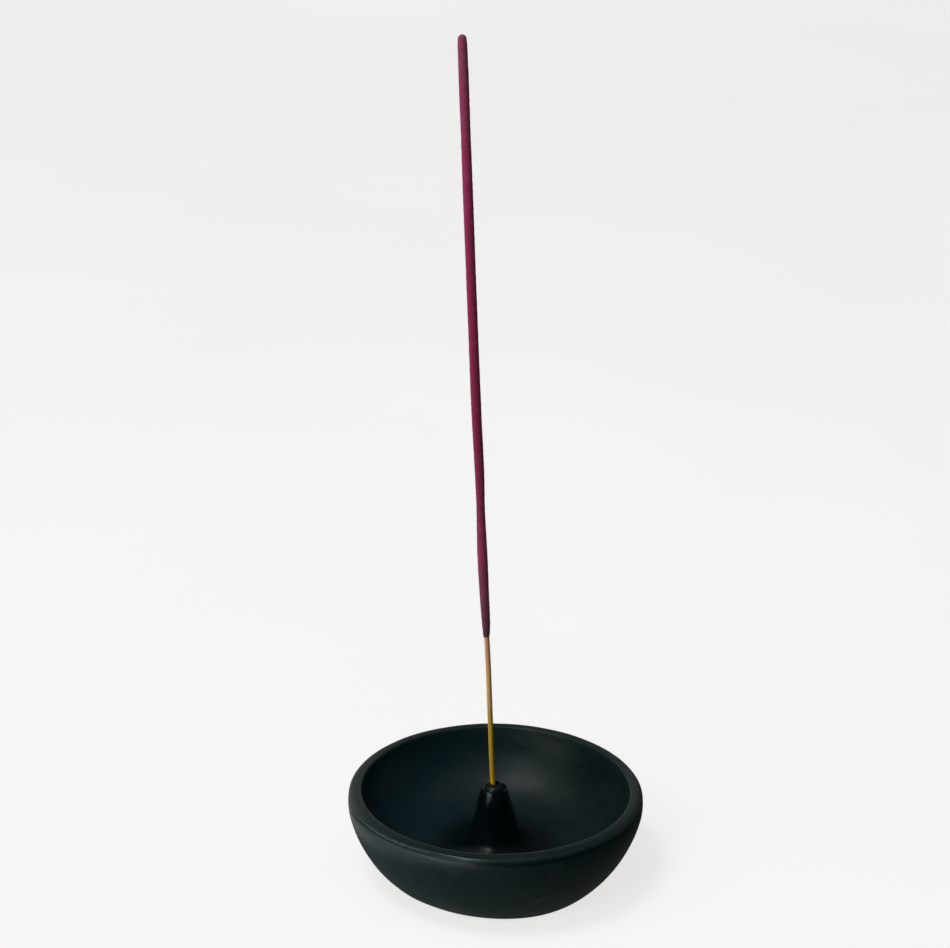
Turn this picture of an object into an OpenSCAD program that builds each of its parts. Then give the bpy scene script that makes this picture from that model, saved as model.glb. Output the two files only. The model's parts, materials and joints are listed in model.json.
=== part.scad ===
// Incense burner: a turned stone bowl with a drilled post in its middle, and an incense stick
// that stands in the post. The stick is a bamboo core rolled in incense, and it lifts out.
// Millimetres, +Z up. The origin is the centre of the underside of the bowl.

/* [Bowl] */
// Diameter of the flat underside
base_d = 67; // [60:0.5:72]
// Radius of the heel, where the underside turns into the wall
heel_r = 6.4; // [5:0.1:7]
// Radius of the flank, the long curve of the outer wall
flank_r = 42.5; // [40:0.5:45]
// Radius of the shoulder, where the wall passes its widest point
shoulder_r = 14.5; // [13:0.5:16]
// Radius of the outer edge of the rim
rim_outer_r = 2.5; // [2:0.1:3]
// Radius of the inner edge of the rim
rim_inner_r = 0.8; // [0.4:0.1:1.2]
// Diameter of the rim's crown, its highest circle
crown_d = 92.8; // [92:0.1:94.4]
// Thickness of the stone under the floor
floor_t = 8; // [5:0.5:9]

/* [Post] */
// Height of the tip of the post above the rim
post_rise = 1.4; // [0:0.1:4]
// Diameter of the post where its rounded tip meets the cone
post_tip_d = 9.3; // [9:0.1:10]
// Radius that rounds the tip
post_tip_r = 2.9; // [2:0.1:3]
// Slope of the side of the cone, measured from vertical
post_taper = 15; // [12:0.5:17]
// Radius of the fillet between the post and the floor
foot_r = 8.5; // [6:0.5:10]
// Diameter of the drilled socket
socket_d = 3; // [2.9:0.05:3.2]
// Depth of the socket below the tip
socket_depth = 24; // [20:0.5:24]
// Widening of the mouth of the socket, on the radius and in depth
mouth_flare = 0.25; // [0.1:0.05:0.3]

/* [Stick] */
// Length of the bamboo and incense together
stick_l = 277; // [250:1:305]
// Diameter of the bamboo core
core_d = 1.7; // [1.5:0.05:1.7]
// Angle at which the stick leans in its socket, towards -X
lean = 2.93; // [2:0.01:2.93]
// Gap between the leaning stick and the wall of the socket at its tightest
fit_gap = 0.03; // [0.02:0.01:0.05]
// Diameter of the incense coating
coat_d = 3.2; // [2.4:0.1:3.6]
// Length of the incense coating
coat_l = 198.5; // [180:0.5:220]
// Length of the taper at the lower end of the coating
coat_taper_l = 18; // [8:1:20]
// Diameter of the lower end of the coating
coat_end_d = 2; // [1.9:0.1:2.2]
// Thickness of incense over the upper end of the core
coat_cap = 1.2; // [0.8:0.1:2]

/* [Hidden] */
$fn = 96;

// Headings are in degrees: 0 runs outwards, 90 runs up.
// The outline turns through these headings along the outer wall and the rim.
flank_from = 44;
flank_to = 77;
shoulder_to = 98.5;
// Heading of the inner wall where it reaches the rim
inner_to = 84;
// Largest turn between two points of an arc
arc_step = 3;

// Points of an arc that starts at p with heading a and turns to heading b. The radius is
// positive for a left turn and negative for a right turn.
function arc(p, a, b, r) =
    let (n = ceil(abs(b - a) / arc_step))
    [for (i = [0:n]) let (h = a + (b - a) * i / n) p + r * [sin(h) - sin(a), cos(a) - cos(h)]];

function last(points) = points[len(points) - 1];

// Outer wall, from the underside up to the crown of the rim
heel = arc([base_d / 2, 0], 0, flank_from, heel_r);
flank = arc(last(heel), flank_from, flank_to, flank_r);
shoulder = arc(last(flank), flank_to, shoulder_to, shoulder_r);
rim_outer = arc(last(shoulder), shoulder_to, 180, rim_outer_r);
rim_z = last(rim_outer)[1];

// Rim and inner wall, from the crown down to the floor. The inner wall is one arc whose
// radius lets it leave the floor level and meet the rim at its heading.
rim_inner = arc([crown_d / 2, rim_z], 180, 180 + inner_to, rim_inner_r);
inner_r = (last(rim_inner)[1] - floor_t) / (1 - cos(inner_to));
inner_wall = arc(last(rim_inner), 180 + inner_to, 180, -inner_r);

// Post, from its foot on the floor up to the flat of its tip
tip_z = rim_z + post_rise;
cone_heading = 90 - post_taper;
cone_top = [post_tip_d / 2, tip_z - post_tip_r * (1 - cos(cone_heading))];
foot_top_z = floor_t + foot_r * (1 - cos(cone_heading));
foot_top = [cone_top[0] + (cone_top[1] - foot_top_z) * tan(post_taper), foot_top_z];
foot = arc([foot_top[0] + foot_r * sin(cone_heading), floor_t], 180, 180 - cone_heading, -foot_r);
tip = arc(cone_top, 180 - cone_heading, 180, post_tip_r);

bowl_outline = concat([[0, 0]], heel, flank, shoulder, rim_outer, rim_inner, inner_wall,
                      foot, tip, [[0, tip_z]]);

// Socket: the leaning stick touches it at the mouth on one side and at the bottom on the other.
socket_z = tip_z - socket_depth;
stick_r = core_d / 2;
swing = socket_d / 2 - stick_r / cos(lean) - fit_gap;
// The stick's axis crosses the socket's axis this far above the bottom of the socket.
cross_h = (socket_depth - mouth_flare) - swing / tan(lean);
// Lowest corner of the stick stays this far above the bottom of the socket.
rest_gap = 0.02;
stick_z = socket_z + rest_gap + stick_r * sin(lean);
stick_x = (socket_z + cross_h - stick_z) * tan(lean);

// Overlap that keeps a cut clear of the surface it cuts
eps = 0.01;

module on_stick() {
    translate([stick_x, 0, stick_z]) rotate([0, -lean, 0]) children();
}

module bowl() {
    color("#1c2523") difference() {
        rotate_extrude() polygon(bowl_outline);
        translate([0, 0, socket_z]) cylinder(h = socket_depth + eps, d = socket_d);
        translate([0, 0, tip_z - mouth_flare])
            cylinder(h = mouth_flare + eps, d1 = socket_d, d2 = socket_d + 2 * (mouth_flare + eps));
    }
}

module bamboo_core() {
    color("#b8952a") on_stick() cylinder(h = stick_l - coat_cap, d = core_d);
}

// The outline of the coating: a tapered lower end, a straight roll and a rounded upper end.
module coat_outline() {
    coat_r = coat_d / 2;
    polygon(concat(
        [[0, 0], [coat_end_d / 2, 0], [coat_r, coat_taper_l]],
        arc([coat_r, coat_l - coat_r], 90, 180, coat_r)));
}

module incense_coating() {
    color("#66173b") on_stick() difference() {
        translate([0, 0, stick_l - coat_l]) rotate_extrude() coat_outline();
        cylinder(h = stick_l - coat_cap, d = core_d);
    }
}

bowl();
bamboo_core();
incense_coating();
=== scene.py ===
"""Looks of an incense burner: a turned black stone bowl with a drilled post, and a leaning stick.

Metres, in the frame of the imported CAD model: +Z is up, the origin is under the middle of the bowl and
the front is at -Y. Angles round the bowl start at +X, its right, and pass its back at 90.
"""
import json
import math

import bpy
from mathutils import Matrix, Vector, noise


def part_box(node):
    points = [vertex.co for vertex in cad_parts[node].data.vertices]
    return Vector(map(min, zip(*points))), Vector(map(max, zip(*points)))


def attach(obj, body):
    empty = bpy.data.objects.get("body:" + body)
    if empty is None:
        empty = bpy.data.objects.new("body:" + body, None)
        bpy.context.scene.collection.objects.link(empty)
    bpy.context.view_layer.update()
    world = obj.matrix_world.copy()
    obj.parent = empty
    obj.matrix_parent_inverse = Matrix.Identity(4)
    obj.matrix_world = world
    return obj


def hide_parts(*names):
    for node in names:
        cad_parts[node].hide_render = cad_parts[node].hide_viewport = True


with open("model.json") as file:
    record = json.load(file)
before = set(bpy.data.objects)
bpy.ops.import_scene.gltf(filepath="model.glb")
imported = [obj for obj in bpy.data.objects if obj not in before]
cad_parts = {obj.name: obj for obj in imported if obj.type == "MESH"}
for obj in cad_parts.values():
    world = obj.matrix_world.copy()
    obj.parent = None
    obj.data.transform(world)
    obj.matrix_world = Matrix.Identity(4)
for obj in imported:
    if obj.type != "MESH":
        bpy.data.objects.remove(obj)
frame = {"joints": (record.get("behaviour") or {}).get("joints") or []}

MM = 0.001
RIGHT, LEFT, FRONT = 0, 180, 270     # angles round the bowl, in degrees
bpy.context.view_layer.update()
BOWL_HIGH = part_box("bowl")[1]
CORE_LOW, CORE_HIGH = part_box("bamboo_core")
COAT_LOW, COAT_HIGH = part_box("incense_coating")


# ---------------------------------------------------------------- shared helpers

def smoothstep(low, high, value):
    """0 at low, 1 at high and smooth between them."""
    t = min(1.0, max(0.0, (value - low) / (high - low)))
    return t * t * (3.0 - 2.0 * t)


def between(low, full_low, full_high, high, value):
    """1 from full_low to full_high, and smooth down to 0 at low and at high."""
    return smoothstep(low, full_low, value) * (1 - smoothstep(full_high, high, value))


def bell(offset, width):
    """A smooth hump of height 1 at offset 0, about width wide on each side."""
    return math.exp(-(offset / width) ** 2)


def away(angle, middle):
    """How far an angle lies from another, in degrees, from -180 to 180."""
    return (angle - middle + 180) % 360 - 180


def direction(degrees):
    """The unit vector at an angle from +X, level with the table."""
    a = math.radians(degrees)
    return Vector((math.cos(a), math.sin(a), 0))


def link_mesh(name, points, faces, material):
    mesh = bpy.data.meshes.new(name)
    mesh.from_pydata(points, [], faces)
    mesh.validate()
    for polygon in mesh.polygons:
        polygon.use_smooth = True
    mesh.materials.append(material)
    piece = bpy.data.objects.new(name, mesh)
    bpy.context.scene.collection.objects.link(piece)
    return piece


def ring_faces(rings, sides):
    """Quads between rings of points, and a fan at each end to a single point."""
    faces = []
    for ring in range(rings - 1):
        for side in range(sides):
            a = ring * sides + side
            b = ring * sides + (side + 1) % sides
            faces.append((a, b, b + sides, a + sides))
    first, last = rings * sides, rings * sides + 1
    top = (rings - 1) * sides
    for side in range(sides):
        following = (side + 1) % sides
        faces.append((first, following, side))
        faces.append((last, top + side, top + following))
    return faces


# ---------------------------------------------------------------- materials

class Nodes:
    """A material's node tree, with short calls to add and join its nodes. Lengths are in metres."""

    def __init__(self, name):
        self.material = bpy.data.materials.new(name)
        self.material.use_nodes = True
        self.tree = self.material.node_tree
        self.tree.nodes.clear()
        self.shader = self.add("ShaderNodeBsdfPrincipled")
        output = self.add("ShaderNodeOutputMaterial")
        self.join(self.shader.outputs["BSDF"], output.inputs["Surface"])
        self.place = self.add("ShaderNodeTexCoord").outputs["Object"]

    def add(self, kind, **settings):
        node = self.tree.nodes.new(kind)
        for key, value in settings.items():
            setattr(node, key, value)
        return node

    def join(self, value, target):
        """Set a socket to a number or colour, or link an output to it."""
        if isinstance(value, (int, float)):
            target.default_value = value
        elif isinstance(value, tuple):
            fits = len(value) == len(target.default_value)
            target.default_value = value if fits else (*value, 1.0)
        else:
            self.tree.links.new(value, target)

    def shaded(self, **values):
        """Set the shader's sockets, named with _ for each space, and give the material."""
        for name, value in values.items():
            self.join(value, self.shader.inputs[name.replace("_", " ")])
        return self.material

    def stretched(self, x, y, z, lean=0.0):
        """Coordinates in which patterns are x, y, z times as long, along axes that lean towards -X."""
        node = self.add("ShaderNodeMapping", vector_type="TEXTURE")
        node.inputs["Scale"].default_value = (x, y, z)
        node.inputs["Rotation"].default_value = (0, -lean, 0)
        self.join(self.place, node.inputs["Vector"])
        return node.outputs["Vector"]

    def split(self):
        """The x, y and z outputs of the place."""
        node = self.add("ShaderNodeSeparateXYZ")
        self.join(self.place, node.inputs[0])
        return node.outputs["X"], node.outputs["Y"], node.outputs["Z"]

    def noise(self, size, detail=4.0, rough=0.5, place=None, distortion=0.0):
        """Cloudy noise whose largest blots are about size across."""
        node = self.add("ShaderNodeTexNoise")
        node.inputs["Scale"].default_value = 1 / size
        node.inputs["Detail"].default_value = detail
        node.inputs["Roughness"].default_value = rough
        node.inputs["Distortion"].default_value = distortion
        self.join(place or self.place, node.inputs["Vector"])
        return node.outputs["Fac"]

    def specks(self, size, radius):
        """1 in the middle of round specks, which are about size apart, falling to 0 at radius."""
        node = self.add("ShaderNodeTexVoronoi")
        node.inputs["Scale"].default_value = 1 / size
        self.join(self.place, node.inputs["Vector"])
        return self.map_range(node.outputs["Distance"], radius / size, 0.5 * radius / size, 0, 1)

    def turned(self, swing):
        """Coordinates for lathe marks: radius and height in full, and only swing round the axis."""
        x, y, z = self.split()
        squares = self.math("ADD", self.math("MULTIPLY", x, x), self.math("MULTIPLY", y, y))
        turn = self.math("ARCTAN2", y, x)
        joined = self.add("ShaderNodeCombineXYZ")
        self.join(self.math("SQRT", squares), joined.inputs["X"])
        self.join(self.math("MULTIPLY", self.math("SINE", turn), swing), joined.inputs["Y"])
        self.join(z, joined.inputs["Z"])
        return joined.outputs["Vector"]

    def attribute(self, name):
        return self.add("ShaderNodeAttribute", attribute_name=name).outputs["Fac"]

    def vector(self, operation, first, second):
        node = self.add("ShaderNodeVectorMath", operation=operation)
        self.join(first, node.inputs[0])
        self.join(second, node.inputs[1])
        return node.outputs["Value" if operation in ("DOT_PRODUCT", "DISTANCE") else "Vector"]

    def math(self, operation, first, second=0.0, clamp=False):
        node = self.add("ShaderNodeMath", operation=operation, use_clamp=clamp)
        self.join(first, node.inputs[0])
        self.join(second, node.inputs[1])
        return node.outputs[0]

    def scratch(self, start, end, width):
        """1 along the straight mark from start to end, falling to 0 at width from its middle."""
        run = end - start
        offset = self.vector("SUBTRACT", self.place, tuple(start))
        length = self.vector("DOT_PRODUCT", offset, tuple(run))
        share = self.math("DIVIDE", length, run.length_squared, clamp=True)
        scale = self.add("ShaderNodeVectorMath", operation="SCALE")
        scale.inputs[0].default_value = tuple(run)
        self.join(share, scale.inputs["Scale"])
        distance = self.vector("DISTANCE", offset, scale.outputs["Vector"])
        return self.map_range(distance, width, 0.3 * width, 0, 1)

    def ramp(self, value, positions, colours):
        """Greys or colours, blended between their positions."""
        node = self.add("ShaderNodeValToRGB")
        elements = node.color_ramp.elements
        while len(elements) < len(positions):
            elements.new(0.5)
        for element, position, colour in zip(elements, positions, colours):
            element.position = position
            grey = isinstance(colour, (int, float))
            element.color = (colour, colour, colour, 1.0) if grey else (*colour, 1.0)
        self.join(value, node.inputs["Fac"])
        return node.outputs["Color"]

    def mix(self, factor, first, second, blend="MIX"):
        node = self.add("ShaderNodeMix", data_type="RGBA", blend_type=blend)
        self.join(factor, node.inputs[0])
        self.join(first, node.inputs[6])
        self.join(second, node.inputs[7])
        return node.outputs[2]

    def layer(self, under, over, value, low, high, share):
        """over laid on under: not at all where value is low, and by share where it is high."""
        return self.mix(self.map_range(value, low, high, 0.0, share), under, over)

    def lay(self, under, over, value, share):
        """over laid on under by share times value."""
        return self.mix(self.math("MULTIPLY", value, share), under, over)

    def times(self, colour, other):
        return self.mix(1.0, colour, other, "MULTIPLY")

    def map_range(self, value, low, high, to_low, to_high):
        node = self.add("ShaderNodeMapRange")
        limits = {"From Min": low, "From Max": high, "To Min": to_low, "To Max": to_high}
        for socket, number in limits.items():
            self.join(number, node.inputs[socket])
        self.join(value, node.inputs["Value"])
        return node.outputs["Result"]

    def bump(self, height, distance, normal=None):
        """Bump that is distance high from the lowest to the highest value of height."""
        node = self.add("ShaderNodeBump")
        node.inputs["Strength"].default_value = 1.0
        node.inputs["Distance"].default_value = distance
        self.join(height, node.inputs["Height"])
        if normal is not None:
            self.join(normal, node.inputs["Normal"])
        return node.outputs["Normal"]

    def level_bump(self, pattern, strength, distance, normal=None):
        """Bump of a pattern about its middle value, so that a change of strength leaves no step."""
        swing = self.math("SUBTRACT", pattern, 0.5)
        return self.bump(self.math("MULTIPLY", swing, strength), distance, normal)


# Colours are in linear red, green and blue. The first two have a darker and a paler shade.
CLOUD_STOPS = (0.32, 0.72)
# Stone under painted cool light, used inside the bowl towards its left
PAINTED_COOL_STONE = ((0.0032, 0.0230, 0.0325), (0.0058, 0.0285, 0.0390))
GREEN_STONE = ((0.0030, 0.0155, 0.0145), (0.0060, 0.0210, 0.0190))
MOTTLE_COLOUR = (0.0100, 0.0330, 0.0320)
SMUDGE_COLOUR = (0.0135, 0.0300, 0.0320)
SPECK_COLOUR = (0.045, 0.055, 0.052)
# Painted highlight: a pale rim at the bowl's sides and along the front of its inner edge
PAINTED_RIM_LIGHT_COLOUR = (0.062, 0.074, 0.073)
# Painted shade and dark reflection: on the post, round its foot, in the crease and in the groove
PAINTED_SHADE_COLOUR = (0.0003, 0.0042, 0.0054)
SCRATCH_COLOUR = (0.085, 0.095, 0.09)
# Scratches and scuffs: both ends as radius, angle and height in mm and degrees, width in mm, strength
SCRATCHES = (((45.5, 80.8, 25.6), (44.4, 80.3, 22.4), 0.28, 0.35),
             ((44.7, 286.4, 10.3), (46.0, 290.8, 12.6), 1.9, 0.26),
             ((45.2, 288.2, 11.2), (46.1, 290.9, 12.7), 1.2, 0.36),
             ((28.3, 16.9, 8.0), (28.6, 17.6, 8.1), 0.35, 0.9),
             ((43.3, 178.6, 20.2), (43.0, 178.9, 19.4), 0.45, 0.8))
# Roughness of the plain stone, how much rougher its mottles are, and the share that full polish leaves
SATIN, MOTTLE_ROUGH, BUFFED = 0.38, 0.09, 0.56
# Sizes of the patterns, and heights of their bumps
CLOUD, SMUDGE, MOTTLE, GRAIN, TURNING = 22 * MM, 7 * MM, 2.4 * MM, 0.45 * MM, 0.35 * MM
MOTTLE_BUMP, GRAIN_BUMP, TURNING_BUMP, SCRATCH_BUMP = 0.05 * MM, 0.018 * MM, 0.009 * MM, -0.05 * MM


def on_bowl(radius, angle, height):
    """A place on the bowl, in metres, from millimetres and degrees."""
    a = math.radians(angle)
    return Vector((radius * math.cos(a), radius * math.sin(a), height)) * MM


def stone_material():
    n = Nodes("black_stone")
    polish = n.attribute("polish")
    painted_rim_light = n.attribute("painted_rim_light")
    cloud = n.noise(CLOUD, 5, 0.6)
    smudge = n.noise(SMUDGE, 4, 0.6, distortion=1.2)
    mottle = n.noise(MOTTLE, 4, 0.65)
    grain = n.noise(GRAIN, 3, 0.6)
    turning = n.noise(TURNING, 2, 0.5, place=n.turned(1.2 * MM))
    smooth = n.map_range(polish, 0.0, 1.0, 1.0, 0.3)

    # painted cool light: the inside of the bowl turns bluer towards its left
    painted_cool_light = n.ramp(cloud, CLOUD_STOPS, PAINTED_COOL_STONE)
    green = n.ramp(cloud, CLOUD_STOPS, GREEN_STONE)
    colour = n.mix(n.attribute("painted_cool_light"), green, painted_cool_light)
    colour = n.layer(colour, MOTTLE_COLOUR, mottle, 0.42, 0.72, 0.75)
    colour = n.layer(colour, SMUDGE_COLOUR, smudge, 0.50, 0.68, 0.60)
    colour = n.lay(colour, SPECK_COLOUR, n.specks(7 * MM, 0.22 * MM), 0.35)
    # painted highlight on the rim's sides and the front of its inner edge
    colour = n.lay(colour, PAINTED_RIM_LIGHT_COLOUR, painted_rim_light, 0.85)
    # painted shade and dark reflection on the post, round its foot, in the crease and in the groove
    colour = n.lay(colour, PAINTED_SHADE_COLOUR, n.attribute("painted_shade"), 0.9)
    marks = None
    for start, end, width, strength in SCRATCHES:
        line = n.scratch(on_bowl(*start), on_bowl(*end), width * MM)
        mark = n.math("MULTIPLY", line, strength)
        marks = mark if marks is None else n.math("MAXIMUM", marks, mark)
    colour = n.mix(marks, colour, SCRATCH_COLOUR)

    rough = n.map_range(mottle, 0.3, 0.7, SATIN, SATIN + MOTTLE_ROUGH)
    rough = n.math("ADD", rough, n.map_range(cloud, 0.3, 0.7, -0.03, 0.03))
    rough = n.math("MULTIPLY", rough, n.map_range(polish, 0.0, 1.0, 1.0, BUFFED))
    rough = n.math("ADD", rough, n.math("MULTIPLY", painted_rim_light, 0.12))

    normal = n.level_bump(mottle, smooth, MOTTLE_BUMP)
    normal = n.level_bump(grain, smooth, GRAIN_BUMP, normal)
    normal = n.bump(turning, TURNING_BUMP, normal)
    normal = n.bump(marks, SCRATCH_BUMP, normal)
    return n.shaded(Base_Color=colour, Roughness=rough, Specular_IOR_Level=0.32, Normal=normal)


# Colours of the bamboo's darkest, middle and palest fibres, from the socket up to the coating
GOLD = ((0.36, 0.180, 0.004), (0.56, 0.33, 0.008), (0.78, 0.52, 0.03))
TAN = ((0.50, 0.25, 0.055), (0.78, 0.44, 0.12), (0.92, 0.62, 0.23))
PINK = ((0.54, 0.17, 0.085), (0.84, 0.37, 0.21), (0.95, 0.52, 0.34))
FIBRE_STOPS = (0.30, 0.52, 0.74)
FIBRE, STRAND, FIBRE_STRETCH = 0.16 * MM, 0.55 * MM, 40
TAN_FROM, TAN_TO = 18 * MM, 32 * MM      # above the bowl
PINK_FROM, PINK_TO = 14 * MM, 1 * MM     # below the coating


def bamboo_material(lean):
    n = Nodes("dyed_bamboo")
    along = n.stretched(1, 1, FIBRE_STRETCH, lean)
    fibre = n.noise(FIBRE, 3, 0.6, place=along)
    strand = n.noise(STRAND, 2, place=along)
    height = n.split()[2]
    gold, tan, pink = (n.ramp(fibre, FIBRE_STOPS, shades) for shades in (GOLD, TAN, PINK))
    level = n.math("ADD", height, n.map_range(strand, 0.3, 0.7, -3 * MM, 3 * MM))
    colour = n.layer(gold, tan, level, BOWL_HIGH.z + TAN_FROM, BOWL_HIGH.z + TAN_TO, 1.0)
    colour = n.layer(colour, pink, level, COAT_LOW.z - PINK_FROM, COAT_LOW.z - PINK_TO, 1.0)
    rough = n.map_range(fibre, 0.3, 0.7, 0.62, 0.46)
    normal = n.bump(fibre, 0.03 * MM, n.bump(strand, 0.04 * MM))
    return n.shaded(Base_Color=colour, Roughness=rough, Specular_IOR_Level=0.35, Normal=normal)


# The coating's colours, and the share of its length at which each stands, from its lower end up
PASTE_STOPS = (0.0, 0.05, 0.14, 0.30, 0.50, 0.72, 0.88, 0.98, 1.0)
PASTE = ((0.11, 0.032, 0.040), (0.20, 0.040, 0.085), (0.36, 0.040, 0.105),
         (0.30, 0.018, 0.078), (0.36, 0.016, 0.085), (0.43, 0.020, 0.115),
         (0.43, 0.050, 0.155), (0.40, 0.060, 0.150), (0.36, 0.10, 0.16))
BLOTCH, PASTE_GRAIN, DUST = 9 * MM, 0.32 * MM, 0.9 * MM
GRAIN_SHADE = (0.42, 0.42, 0.42)
DUST_TINT = (1.5, 2.4, 1.8)
PALE_SPECK, DARK_SPECK = (0.36, 0.13, 0.20), (0.030, 0.008, 0.016)
SHEEN_TINT = (0.90, 0.62, 0.74)


def incense_material():
    n = Nodes("incense_paste")
    share = n.map_range(n.split()[2], COAT_LOW.z, COAT_HIGH.z, 0, 1)
    blotch = n.noise(BLOTCH, 4, 0.6)
    share = n.math("ADD", share, n.map_range(blotch, 0.3, 0.7, -0.04, 0.04))
    grain = n.noise(PASTE_GRAIN, 4, 0.7)
    dust = n.noise(DUST, 3, 0.6)
    colour = n.ramp(share, PASTE_STOPS, PASTE)
    colour = n.layer(colour, n.times(colour, GRAIN_SHADE), grain, 0.35, 0.65, 0.55)
    colour = n.layer(colour, n.times(colour, DUST_TINT), dust, 0.5, 0.75, 0.6)
    colour = n.lay(colour, PALE_SPECK, n.specks(1.3 * MM, 0.13 * MM), 0.6)
    colour = n.lay(colour, DARK_SPECK, n.specks(2.1 * MM, 0.16 * MM), 0.8)
    rough = n.map_range(grain, 0.3, 0.7, 0.95, 0.78)
    normal = n.bump(grain, 0.045 * MM, n.bump(dust, 0.05 * MM))
    return n.shaded(Base_Color=colour, Roughness=rough, Specular_IOR_Level=0.25, Sheen_Weight=0.42,
                    Sheen_Roughness=0.5, Sheen_Tint=SHEEN_TINT, Normal=normal)


# ---------------------------------------------------------------- bowl

# The outline of the turned bowl, in millimetres, as in the CAD design: a chain of tangent arcs.
BASE_R = 33.5
HEEL_R, FLANK_R, SHOULDER_R, RIM_OUTER_R, RIM_INNER_R = 6.4, 42.5, 14.5, 2.5, 0.8
FLANK_FROM, FLANK_TO, SHOULDER_TO, INNER_TO = 44, 77, 98.5, 84
CROWN_R = 46.4
FLOOR_T = 8
POST_RISE, POST_TIP_R, POST_ROUND_R, POST_TAPER, FOOT_R = 1.4, 4.65, 2.9, 15, 8.5
SOCKET_R, SOCKET_DEPTH, MOUTH_FLARE = 1.5, 24, 0.25
WIDE_GAP, CLOSE_GAP = 0.7, 0.16      # largest distance between two points, and the same near edges
POINT_TURN = 6                       # largest turn between two points of an arc, in degrees
BOWL_SIDES = 360


class Outline:
    """A chain of lines and arcs in millimetres. starts holds how far along it each part begins."""

    def __init__(self, radius, height):
        self.points = [(radius, height)]
        self.along = [0.0]
        self.starts = {}

    def begin(self, part):
        self.starts[part] = self.along[-1]

    def add(self, point):
        self.along.append(self.along[-1] + math.dist(point, self.points[-1]))
        self.points.append(point)

    def arc(self, heading, to_heading, radius, gap=WIDE_GAP):
        """Heading 0 runs outwards and 90 up; a negative radius turns right."""
        turn = abs(to_heading - heading)
        count = math.ceil(max(turn / POINT_TURN, math.radians(turn) * abs(radius) / gap))
        a = math.radians(heading)
        x, z = self.points[-1]
        for i in range(1, count + 1):
            h = math.radians(heading + (to_heading - heading) * i / count)
            out, up = math.sin(h) - math.sin(a), math.cos(a) - math.cos(h)
            self.add((x + radius * out, z + radius * up))

    def line(self, x, z, gap=WIDE_GAP):
        start = self.points[-1]
        count = math.ceil(math.dist(start, (x, z)) / gap)
        for i in range(1, count + 1):
            self.add((start[0] + (x - start[0]) * i / count, start[1] + (z - start[1]) * i / count))


def bowl_outline():
    """The turned shape, from beside the axis underneath to the bottom of the socket."""
    path = Outline(WIDE_GAP, 0.0)
    path.line(BASE_R, 0.0, 2.0)
    path.begin("heel")
    path.arc(0, FLANK_FROM, HEEL_R)
    path.begin("flank")
    path.arc(FLANK_FROM, FLANK_TO, FLANK_R)
    path.begin("shoulder")
    path.arc(FLANK_TO, SHOULDER_TO, SHOULDER_R, CLOSE_GAP)
    path.begin("rim")
    path.arc(SHOULDER_TO, 180, RIM_OUTER_R, CLOSE_GAP)
    rim_z = path.points[-1][1]
    path.begin("land")
    path.line(CROWN_R, rim_z, 2 * CLOSE_GAP)
    path.begin("edge")
    path.arc(180, 180 + INNER_TO, RIM_INNER_R, CLOSE_GAP)
    path.begin("inner")
    inner_r = (path.points[-1][1] - FLOOR_T) / (1 - math.cos(math.radians(INNER_TO)))
    path.arc(180 + INNER_TO, 180, -inner_r)
    path.begin("floor")
    slope = math.radians(90 - POST_TAPER)
    tip_z = rim_z + POST_RISE
    cone_top_z = tip_z - POST_ROUND_R * (1 - math.cos(slope))
    foot_top_z = FLOOR_T + FOOT_R * (1 - math.cos(slope))
    foot_top_x = POST_TIP_R + (cone_top_z - foot_top_z) * math.tan(math.radians(POST_TAPER))
    path.line(foot_top_x + FOOT_R * math.sin(slope), FLOOR_T)
    path.begin("foot")
    path.arc(180, 90 + POST_TAPER, -FOOT_R)
    path.begin("cone")
    path.line(POST_TIP_R, cone_top_z)
    path.begin("tip")
    path.arc(90 + POST_TAPER, 180, POST_ROUND_R, 2 * CLOSE_GAP)
    path.begin("mouth")
    path.line(SOCKET_R + MOUTH_FLARE, tip_z, CLOSE_GAP)
    path.line(SOCKET_R, tip_z - MOUTH_FLARE, CLOSE_GAP)
    path.line(SOCKET_R, tip_z - SOCKET_DEPTH)
    return path


# What handwork adds to the turned outline: heights in millimetres, angles in degrees.
WALL_WAVE, WALL_RIPPLE = 0.16, 0.06          # unevenness of the walls, slow and quick
POST_WAVE, MOUTH_WAVE = 0.16, 0.05
POST_SWELL, SWELL_BELOW_TIP = 0.18, 4.5
POST_SLIM, POST_SLIM_RIGHT = 0.10, 0.34      # the post is slimmer than drawn, most of all on its right
EDGE_THICK = 0.45                            # inside of the rim, at the front
HEEL_FULL, HEEL_WORN = 0.30, 0.60            # right and left of the front
GROOVE_DEPTH = 0.2
CREASE_BELOW_RIM = 1.4                       # where the crease starts, on the left wall
CREASE_CLIMBS = ((2.1, 190, 216), (0.75, 214, 245))     # how far it climbs, and between which angles
CREASE_DEPTH, CREASE_DEPTH_LEFT = 0.20, 0.50            # all along, and how much more on the left
CREASE_LIP = 0.14                            # the stone pushed up beside it
# Angles at which each starts, is at its full strength, is still so, and ends
CREASE_ENDS, LIP_ENDS, GROOVE_ENDS = (183, 190, 240, 262), (205, 220, 252, 275), (238, 286, 312, 345)
POST_SWAY = 0.33                             # how far the post's tip stands towards -X


def crease_offset(angle, along, starts):
    """Distance past the bottom of a hand-cut crease, which climbs from the left to the front."""
    offset = along - starts["rim"] + CREASE_BELOW_RIM
    for climb, from_angle, to_angle in CREASE_CLIMBS:
        offset -= climb * smoothstep(from_angle, to_angle, angle)
    return offset


def crease_depth(angle, along, starts):
    """Slow on the side of the wall and steep on the side of the rim, with a low lip beyond."""
    deep = CREASE_DEPTH + CREASE_DEPTH_LEFT * bell(angle - LEFT - 23, 15)
    offset = crease_offset(angle, along, starts)
    profile = math.exp(offset / 0.8) if offset < 0 else 1 - smoothstep(0, 0.7, offset)
    return between(*CREASE_ENDS, angle) * (deep * profile - CREASE_LIP * bell(offset - 0.95, 0.4))


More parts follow.
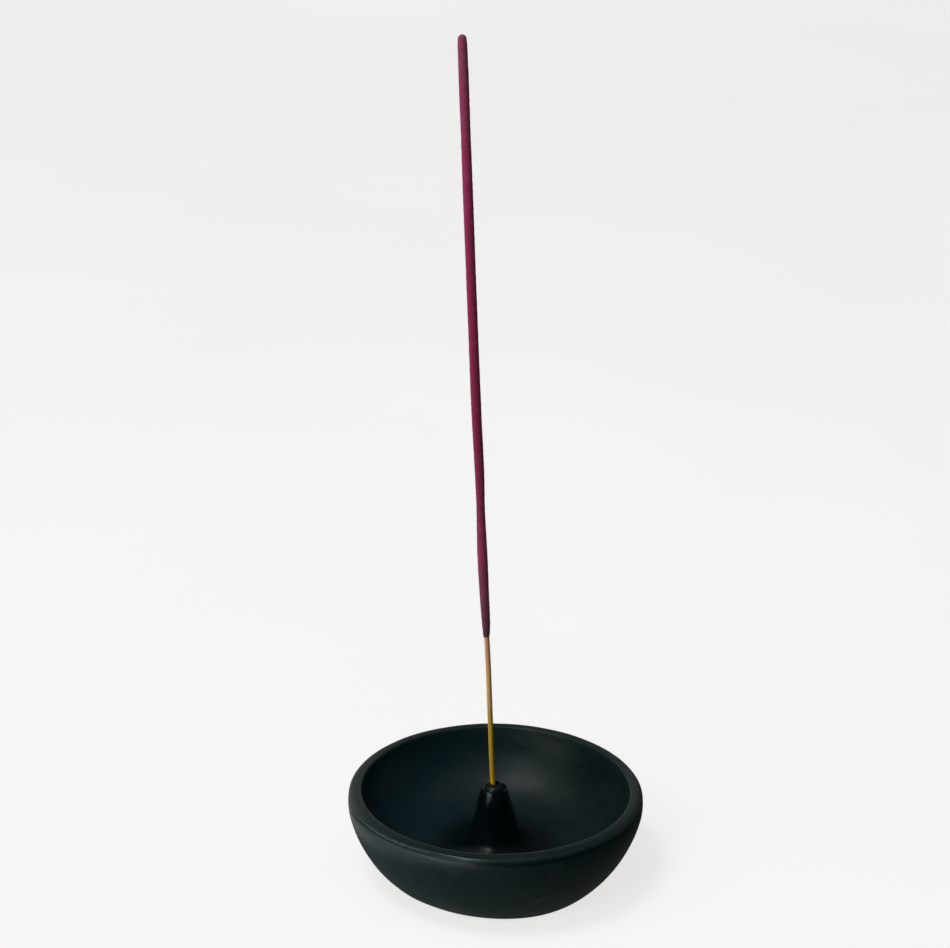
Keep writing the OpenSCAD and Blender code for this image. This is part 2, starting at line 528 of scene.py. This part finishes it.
def crease_painted_shade(angle, along, starts):
    """Painted shade: 1 along the bottom of the crease, where it is deep."""
    return bell(angle - LEFT - 22, 14) * bell(crease_offset(angle, along, starts) - 0.15, 0.7)


def rim_groove(angle, along, starts):
    """1 along a shallow turned groove that remains under the rim at the right of the front."""
    return between(*GROOVE_ENDS, angle) * bell(along - starts["rim"] - 0.2, 0.75)


def post_shift(angle, along, starts):
    """The post's own share of bowl_shift."""
    a = math.radians(angle)
    post = between(starts["foot"], starts["cone"], starts["tip"], starts["mouth"], along)
    mouth = between(starts["tip"] + 1, starts["mouth"], starts["mouth"], starts["mouth"] + 0.8, along)
    shift = POST_SWELL * bell(along - starts["tip"] + SWELL_BELOW_TIP, 3)
    shift += POST_WAVE * post * noise.noise(direction(angle) * 0.9 + Vector((3, 0, along / 9)))
    shift += MOUTH_WAVE * mouth * noise.noise(direction(angle) * 2.5 + Vector((5, 0, 0)))
    return shift - post * (POST_SLIM + POST_SLIM_RIGHT * max(0.0, math.cos(a)))


def bowl_shift(angle, along, starts):
    """How far the handmade surface stands out from the turned outline, in millimetres."""
    walls = between(starts["heel"], starts["flank"] + 6, starts["foot"], starts["cone"], along)
    edge = between(starts["edge"] - 0.3, starts["inner"], starts["inner"], starts["inner"] + 14, along)
    low, high = starts["heel"], starts["flank"]
    heel = between(low + 0.5, low + 3.5, high, high + 9, along)
    around = direction(angle)
    shift = WALL_WAVE * walls * noise.noise(around * 1.2 + Vector((0, 0, along / 25)))
    shift += WALL_RIPPLE * walls * noise.noise(around * 4.5 + Vector((7, 0, along / 7)))
    shift += EDGE_THICK * edge * bell(angle - FRONT + 2, 45)
    shift += heel * (HEEL_FULL * bell(angle - FRONT - 27, 20) - HEEL_WORN * bell(angle - FRONT + 27, 26))
    shift -= crease_depth(angle, along, starts) + GROOVE_DEPTH * rim_groove(angle, along, starts)
    return shift + post_shift(angle, along, starts)


def bowl_polish(angle, along, starts):
    """1 where buffing left the stone glossy: the post, the front of the rim and the crease's lip."""
    post = smoothstep(starts["foot"] - 5, starts["foot"] + 6, along)
    post -= 0.6 * smoothstep(starts["tip"] + 1, starts["mouth"], along)
    rim = bell(angle - FRONT + 10, 46) * bell(along - starts["rim"] - 1.8, 1.3)
    edge = 0.8 * bell(away(angle, FRONT), 70) * bell(along - starts["edge"] - 0.6, 0.7)
    crease_lip = between(*LIP_ENDS, angle) * bell(crease_offset(angle, along, starts) - 0.9, 0.5)
    return min(1.0, post + rim + edge + crease_lip)


def bowl_painted_rim_light(angle, along, starts):
    """1 where a pale highlight is painted on the rim, which is also made rougher there: its sides, and its
    inner edge at the front.
    """
    rim = between(starts["rim"] - 0.5, starts["rim"] + 1.5, starts["edge"], starts["inner"] + 0.5, along)
    sides = bell(away(angle, LEFT - 4), 38) + 0.7 * bell(away(angle, RIGHT + 2), 36)
    edge = 0.5 * bell(away(angle, FRONT), 85) * bell(along - starts["edge"] - 0.5, 0.5)
    return rim * min(1.0, sides + edge)


def bowl_painted_shade(angle, along, starts):
    """1 where painted shade and dark reflection go: the post, a ring round its foot, the crease and the
    groove.
    """
    reach = 8 + 2.5 * noise.noise(direction(angle) + Vector((0, 0, 0.4)))
    ring = smoothstep(starts["foot"] - reach, starts["foot"] + 1, along)
    return min(1.0, ring + crease_painted_shade(angle, along, starts) + rim_groove(angle, along, starts))


def post_sway(height, top):
    """How far the post's top leans towards -X, in millimetres, at a height above the table."""
    return POST_SWAY * smoothstep(top - 15, top - 1, height)


def make_bowl(material):
    path = bowl_outline()
    starts = path.starts
    count = len(path.points)
    top = BOWL_HIGH.z / MM
    points = []
    shares = {"polish": [], "painted_shade": [], "painted_rim_light": [], "painted_cool_light": []}
    for i, (radius, height) in enumerate(path.points):
        before, after = path.points[max(i - 1, 0)], path.points[min(i + 1, count - 1)]
        run = Vector((after[0] - before[0], after[1] - before[1])).normalized()
        along = path.along[i]
        inside = smoothstep(starts["edge"], starts["inner"], along)
        for side in range(BOWL_SIDES):
            angle = 360 * side / BOWL_SIDES
            shift = bowl_shift(angle, along, starts)
            place = on_bowl(radius + shift * run.y, angle, height - shift * run.x)
            if along > starts["foot"]:
                place.x -= post_sway(height, top) * MM
            points.append(place)
            shares["polish"].append(bowl_polish(angle, along, starts))
            # painted shade and dark reflection
            shares["painted_shade"].append(bowl_painted_shade(angle, along, starts))
            shares["painted_rim_light"].append(bowl_painted_rim_light(angle, along, starts))
            # painted cool light, inside the bowl towards its left
            shares["painted_cool_light"].append(inside * smoothstep(25, -25, place.x / MM))
    points.append(Vector((0, 0, 0)))
    points.append(Vector((0, 0, path.points[-1][1])) * MM)
    piece = link_mesh("stone_bowl", points, ring_faces(count, BOWL_SIDES), material)
    for name, values in shares.items():
        attribute = piece.data.attributes.new(name, "FLOAT", "POINT")
        attribute.data.foreach_set("value", values + [0.0, 0.0])
    return piece


# ---------------------------------------------------------------- stick

STICK_AXIS = Vector(frame["joints"][0]["axis"]).normalized()
LEAN = math.acos(STICK_AXIS.z)
SIDE_X = Vector((STICK_AXIS.z, 0, -STICK_AXIS.x))
SIDE_Y = STICK_AXIS.cross(SIDE_X)
CORE_R = (CORE_HIGH.y - CORE_LOW.y) / 2
CORE_FOOT = Vector((CORE_HIGH.x - CORE_R * math.cos(LEAN), 0, CORE_LOW.z + CORE_R * math.sin(LEAN)))
COAT_R = (COAT_HIGH.y - COAT_LOW.y) / 2
COAT_END_R = 1.0 * MM                        # of its lower end
# Distances along the stick from its foot: the top of the core, the socket's mouth, the coating's ends
CORE_L = (CORE_HIGH.z - CORE_R * math.sin(LEAN) - CORE_FOOT.z) / STICK_AXIS.z
MOUTH_S = (BOWL_HIGH.z - CORE_FOOT.z) / STICK_AXIS.z
STICK_L = MOUTH_S + (COAT_HIGH.z - BOWL_HIGH.z) / STICK_AXIS.z
COAT_S = (COAT_LOW.z - CORE_FOOT.z) / STICK_AXIS.z + COAT_END_R * math.sin(LEAN)
STICK_SIDES = 40
CORE_GAP, COAT_GAP = 1.0 * MM, 0.25 * MM     # largest distance between two rings
BOW, TIP_SWAY = 0.62 * MM, 0.22 * MM         # how far it bends towards -X: near its middle, and at its top
# Kinks back towards +X, in millimetres: how far, distance above the socket, half length
KINKS = ((0.24, 46, 16), (0.22, 112, 14))
BORE_GAP = 0.02 * MM                         # between the core and the coating round it
# The core, as shares of CORE_R: its mean radius, corners and fibres, and how much fuller it is when bare
CORE_SHARE, SQUARE, RIDGES, BARE_SWELL = 0.985, 0.018, 0.035, 0.045
BARE_FADE = 0.8 * MM
FOOT_SHARE, FOOT_CHAMFER = 0.8, 0.06 * MM    # share of CORE_R at the foot, and height of its chamfer
# The coating, in millimetres. A swelling is its height, distance above the lower end, and half length.
COAT_SLACK = 0.03                            # taken off the radius, to leave room for the lumps
SWELLINGS = ((0.125, 27, 10), (-0.17, 46, 8.5), (0.05, 82, 14), (0.03, 147, 10), (-0.05, 168, 7))
TOP_TAPER, TIP_TAPER = 0.08, 0.14            # how much thinner over the top 16 mm and the top 4.5 mm
THIN_R, THIN_SWING = 1.02, 0.09              # radius of the lower end, and how much less on the right
TAPER, TAPER_SWING = 7.6, 4.6                # length over which it fills out, and how much less there
COAT_LUMPS = ((0.05, 1.6), (0.055, 0.5), (0.035, 0.24))    # height and size
COAT_CROWN = 1.5                             # length of the rounded top


def stick_centre(s):
    """The stick's centreline, s metres above its foot. It bows a little above the socket."""
    t = max(0.0, (s - MOUTH_S) / (STICK_L - MOUTH_S))
    above = (s - MOUTH_S) / MM
    top = BOWL_HIGH.z / MM
    sway = BOW * math.sin(math.pi * t ** 0.75) + TIP_SWAY * t
    for back, middle, reach in KINKS:
        sway -= MM * back * bell(above - middle, reach)
    if above > 0:
        sway += MM * post_sway(top, top) * bell(above, 16)
    else:
        sway += MM * post_sway(top + above, top)
    return CORE_FOOT + STICK_AXIS * s - Vector((sway, 0, 0))


def make_rod(name, rings, material):
    """A closed piece round the stick's centreline. A ring is (s, radius), or (s, function of angle)."""
    points = []
    for s, radius in rings:
        centre = stick_centre(s)
        for side in range(STICK_SIDES):
            angle = 2 * math.pi * side / STICK_SIDES
            out = SIDE_X * math.cos(angle) + SIDE_Y * math.sin(angle)
            points.append(centre + out * (radius(angle) if callable(radius) else radius))
    points.append(stick_centre(rings[0][0]))
    points.append(stick_centre(rings[-1][0]))
    return link_mesh(name, points, ring_faces(len(rings), STICK_SIDES), material)


def steps(start, end, gap):
    count = math.ceil(abs(end - start) / gap)
    return [start + (end - start) * i / count for i in range(count + 1)]


def core_radius(s, angle):
    """The split bamboo is a little square, and its fibres run along it as shallow ridges."""
    ridges = noise.noise(Vector((3.2 * math.cos(angle), 3.2 * math.sin(angle), s / (60 * MM))))
    square = SQUARE * math.cos(4 * angle + 0.6)
    bare = BARE_SWELL * smoothstep(COAT_S, COAT_S - BARE_FADE, s)
    return CORE_R * (CORE_SHARE + bare + square + RIDGES * ridges)


def make_core(material):
    rings = [(0.0, FOOT_SHARE * CORE_R)]
    for s in steps(FOOT_CHAMFER, CORE_L, CORE_GAP):
        rings.append((s, lambda angle, s=s: core_radius(s, angle)))
    return make_rod("bamboo_rod", rings, material)


def coat_radius(s, angle):
    """The hand-rolled coating swells and narrows, and thins down to the core over its lower end."""
    up = (s - COAT_S) / MM
    down = (STICK_L - s) / MM
    full = COAT_R / MM - COAT_SLACK
    for height, middle, reach in SWELLINGS:
        full += height * bell(up - middle, reach)
    full -= TOP_TAPER * smoothstep(16, 2, down) + TIP_TAPER * smoothstep(4.5, 0.5, down)
    thin = THIN_R - THIN_SWING * math.cos(angle)
    taper = TAPER - TAPER_SWING * max(0.0, math.cos(angle - 0.25))
    radius = thin + (full - thin) * (1 - math.exp(-up / taper))
    place = stick_centre(s) / MM + Vector((radius * math.cos(angle), radius * math.sin(angle), 0))
    for height, size in COAT_LUMPS:
        radius += height * noise.noise(place / size)
    if down < COAT_CROWN:
        radius *= math.sqrt(max(0.0, 1 - (1 - down / COAT_CROWN) ** 2.2))
    return radius * MM


def make_coat(material):
    crown = COAT_CROWN * MM
    rings = [(s, CORE_R + BORE_GAP) for s in steps(CORE_L + BORE_GAP, COAT_S, 4 * MM)]
    levels = steps(COAT_S, STICK_L - crown, COAT_GAP)
    levels += [STICK_L - crown * (1 - math.sin(math.radians(a))) for a in range(8, 89, 8)]
    for s in levels:
        rings.append((s, lambda angle, s=s: coat_radius(s, angle)))
    return make_rod("incense_roll", rings, material)


# ---------------------------------------------------------------- stage

CAMERA_PLACE, CAMERA_TARGET = Vector((0, -0.66841, 0.38610)), Vector((-0.00832, 0, 0.14353))
CAMERA_ROLL = 0.673
CAMERA_LENS, SENSOR_WIDTH = 83.37, 36        # in millimetres
FLOOR_GLOW = 0.92
FLOOR_GREYS, FLOOR_TINT = (0.79, 0.81), (1.01, 1.0, 0.99)
FLOOR_SHADE = (0.6, 0.6, 0.6)
BACKDROP_R, BACKDROP_BEND, BACKDROP_H = 8, 2, 7
BACKDROP_SIDES, BEND_STEPS = 72, 9
TABLE_COLOUR = (0.150, 0.158, 0.160)
HORIZON_COLOUR = (0.012, 0.014, 0.015)
ROOM_COLOUR = (0.120, 0.127, 0.130)
LEFT_STRENGTH, RIGHT_STRENGTH = 1.35, 0.5
SKY_SLOPE = 0.95                     # height, as a share of distance, over which those colours blend
LIGHT_TARGET = Vector((0, 0, 0.03))
# Name, angle from the front towards the left, elevation, distance, width, height, power in watts
LIGHTS = (("key", 52, 69, 1.5, 0.42, 0.36, 4.2),
          ("window", 28, 42, 3.0, 0.75, 0.5, 4.6),
          ("strip", 50, 10, 3.0, 0.8, 0.6, 5.0),
          ("upper_fill", 42, 42, 3.0, 2.0, 1.3, 4.0),
          ("left_high", 100, 50, 3.0, 1.6, 1.2, 1.2),
          ("top", 0, 84, 3.0, 1.8, 1.8, 3.0),
          ("low_front_left", 38, 1, 3.0, 2.2, 0.42, 21),
          ("low_left", 78, -2, 3.0, 2.0, 0.42, 10),
          ("right_fill", -75, 62, 3.0, 2.0, 1.4, 1.6),
          ("back_left", 136, 8, 3.0, 1.8, 0.6, 2.4),
          ("back_right", -104, 7, 3.0, 1.8, 0.6, 1.2),
          ("back", 180, 6, 3.0, 1.8, 0.5, 3.0))
# The pale table left of the bowl throws light up at it: middle, width, depth and power
TABLE_BOUNCE = (Vector((-0.165, -0.09, 0.0004)), 0.2, 0.4, 0.16)


def look_matrix(location, target, roll=0.0):
    forward = (target - location).normalized()
    right = forward.cross(Vector((0, 0, 1))).normalized()
    up = right.cross(forward)
    turn = Matrix.Rotation(math.radians(roll), 4, "Z")
    basis = Matrix((right, up, -forward)).transposed().to_4x4()
    return Matrix.Translation(location) @ basis @ turn


def make_camera():
    data = bpy.data.cameras.new("camera")
    data.lens = CAMERA_LENS
    data.sensor_width = SENSOR_WIDTH
    data.clip_start = 0.01
    data.clip_end = 50
    camera = bpy.data.objects.new("camera", data)
    bpy.context.scene.collection.objects.link(camera)
    camera.matrix_world = look_matrix(CAMERA_PLACE, CAMERA_TARGET, CAMERA_ROLL)
    bpy.context.scene.camera = camera


def floor_material():
    n = Nodes("pale_floor")
    grey = n.ramp(n.noise(0.3, 3), (0.3, 0.7), FLOOR_GREYS)
    return n.shaded(Emission_Color=n.times(grey, FLOOR_TINT), Base_Color=n.times(grey, FLOOR_SHADE),
                    Emission_Strength=FLOOR_GLOW, Roughness=0.9, Specular_IOR_Level=0.1)


def make_floor():
    """A pale floor that bends up into a backdrop. It glows, as the lights are weak."""
    rings = [(BACKDROP_R, 0.0)]
    for step in range(1, BEND_STEPS + 1):
        a = math.radians(90 * step / BEND_STEPS)
        rings.append((BACKDROP_R + BACKDROP_BEND * math.sin(a), BACKDROP_BEND * (1 - math.cos(a))))
    rings.append((BACKDROP_R + BACKDROP_BEND, BACKDROP_H))
    points = []
    for radius, height in rings:
        for side in range(BACKDROP_SIDES):
            a = math.radians(360 * side / BACKDROP_SIDES)
            points.append((radius * math.cos(a), radius * math.sin(a), height))
    points += [(0, 0, 0), (0, 0, BACKDROP_H)]
    floor = link_mesh("floor", points, ring_faces(len(rings), BACKDROP_SIDES), floor_material())
    floor.visible_glossy = False
    floor.visible_diffuse = False
    floor.visible_shadow = False


def area_light(name, width, height, power):
    data = bpy.data.lights.new(name, "AREA")
    data.shape = "RECTANGLE"
    data.size = width
    data.size_y = height
    data.energy = power
    light = bpy.data.objects.new(name, data)
    light.visible_camera = False
    bpy.context.scene.collection.objects.link(light)
    return light


def make_light(name, azimuth, elevation, distance, width, height, power):
    light = area_light(name, width, height, power)
    a, e = math.radians(azimuth), math.radians(elevation)
    way = Vector((-math.sin(a) * math.cos(e), -math.cos(a) * math.cos(e), math.sin(e)))
    light.matrix_world = look_matrix(LIGHT_TARGET + distance * way, LIGHT_TARGET)


def make_bounce(middle, width, depth, power):
    light = area_light("table_bounce", width, depth, power)
    light.matrix_world = Matrix.Translation(middle) @ Matrix.Rotation(math.pi, 4, "X")


def make_world():
    """A dim room, darkest at the horizon and stronger on the left. The paler table lights from below."""
    world = bpy.data.worlds.new("world")
    world.use_nodes = True
    tree = world.node_tree
    background = tree.nodes["Background"]
    place = tree.nodes.new("ShaderNodeTexCoord")
    split = tree.nodes.new("ShaderNodeSeparateXYZ")
    share = tree.nodes.new("ShaderNodeMapRange")
    ramp = tree.nodes.new("ShaderNodeValToRGB")
    share.inputs["From Min"].default_value = -SKY_SLOPE
    share.inputs["From Max"].default_value = SKY_SLOPE
    elements = ramp.color_ramp.elements
    elements.new(0.5)
    stops = ((0.0, TABLE_COLOUR), (0.5, HORIZON_COLOUR), (1.0, ROOM_COLOUR))
    for element, (position, colour) in zip(elements, stops):
        element.position = position
        element.color = (*colour, 1)
    strength = tree.nodes.new("ShaderNodeMapRange")
    limits = {"From Min": -1, "From Max": 1, "To Min": LEFT_STRENGTH, "To Max": RIGHT_STRENGTH}
    for name, value in limits.items():
        strength.inputs[name].default_value = value
    tree.links.new(place.outputs["Generated"], split.inputs[0])
    tree.links.new(split.outputs["X"], strength.inputs["Value"])
    tree.links.new(strength.outputs["Result"], background.inputs["Strength"])
    tree.links.new(split.outputs["Z"], share.inputs["Value"])
    tree.links.new(share.outputs["Result"], ramp.inputs["Fac"])
    tree.links.new(ramp.outputs["Color"], background.inputs["Color"])
    bpy.context.scene.world = world


# ---------------------------------------------------------------- the model

bowl = make_bowl(stone_material())
core = make_core(bamboo_material(LEAN))
coat = make_coat(incense_material())

for piece, node, body, slot in ((bowl, "bowl", "bowl", "black_stone"),
                                (core, "bamboo_core", "stick", "dyed_bamboo"),
                                (coat, "incense_coating", "stick", "incense_paste")):
    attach(piece, body)
    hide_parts(node)

make_camera()
make_floor()
make_world()
make_bounce(*TABLE_BOUNCE)
for settings in LIGHTS:
    make_light(*settings)

bpy.context.scene.view_settings.view_transform = "Standard"
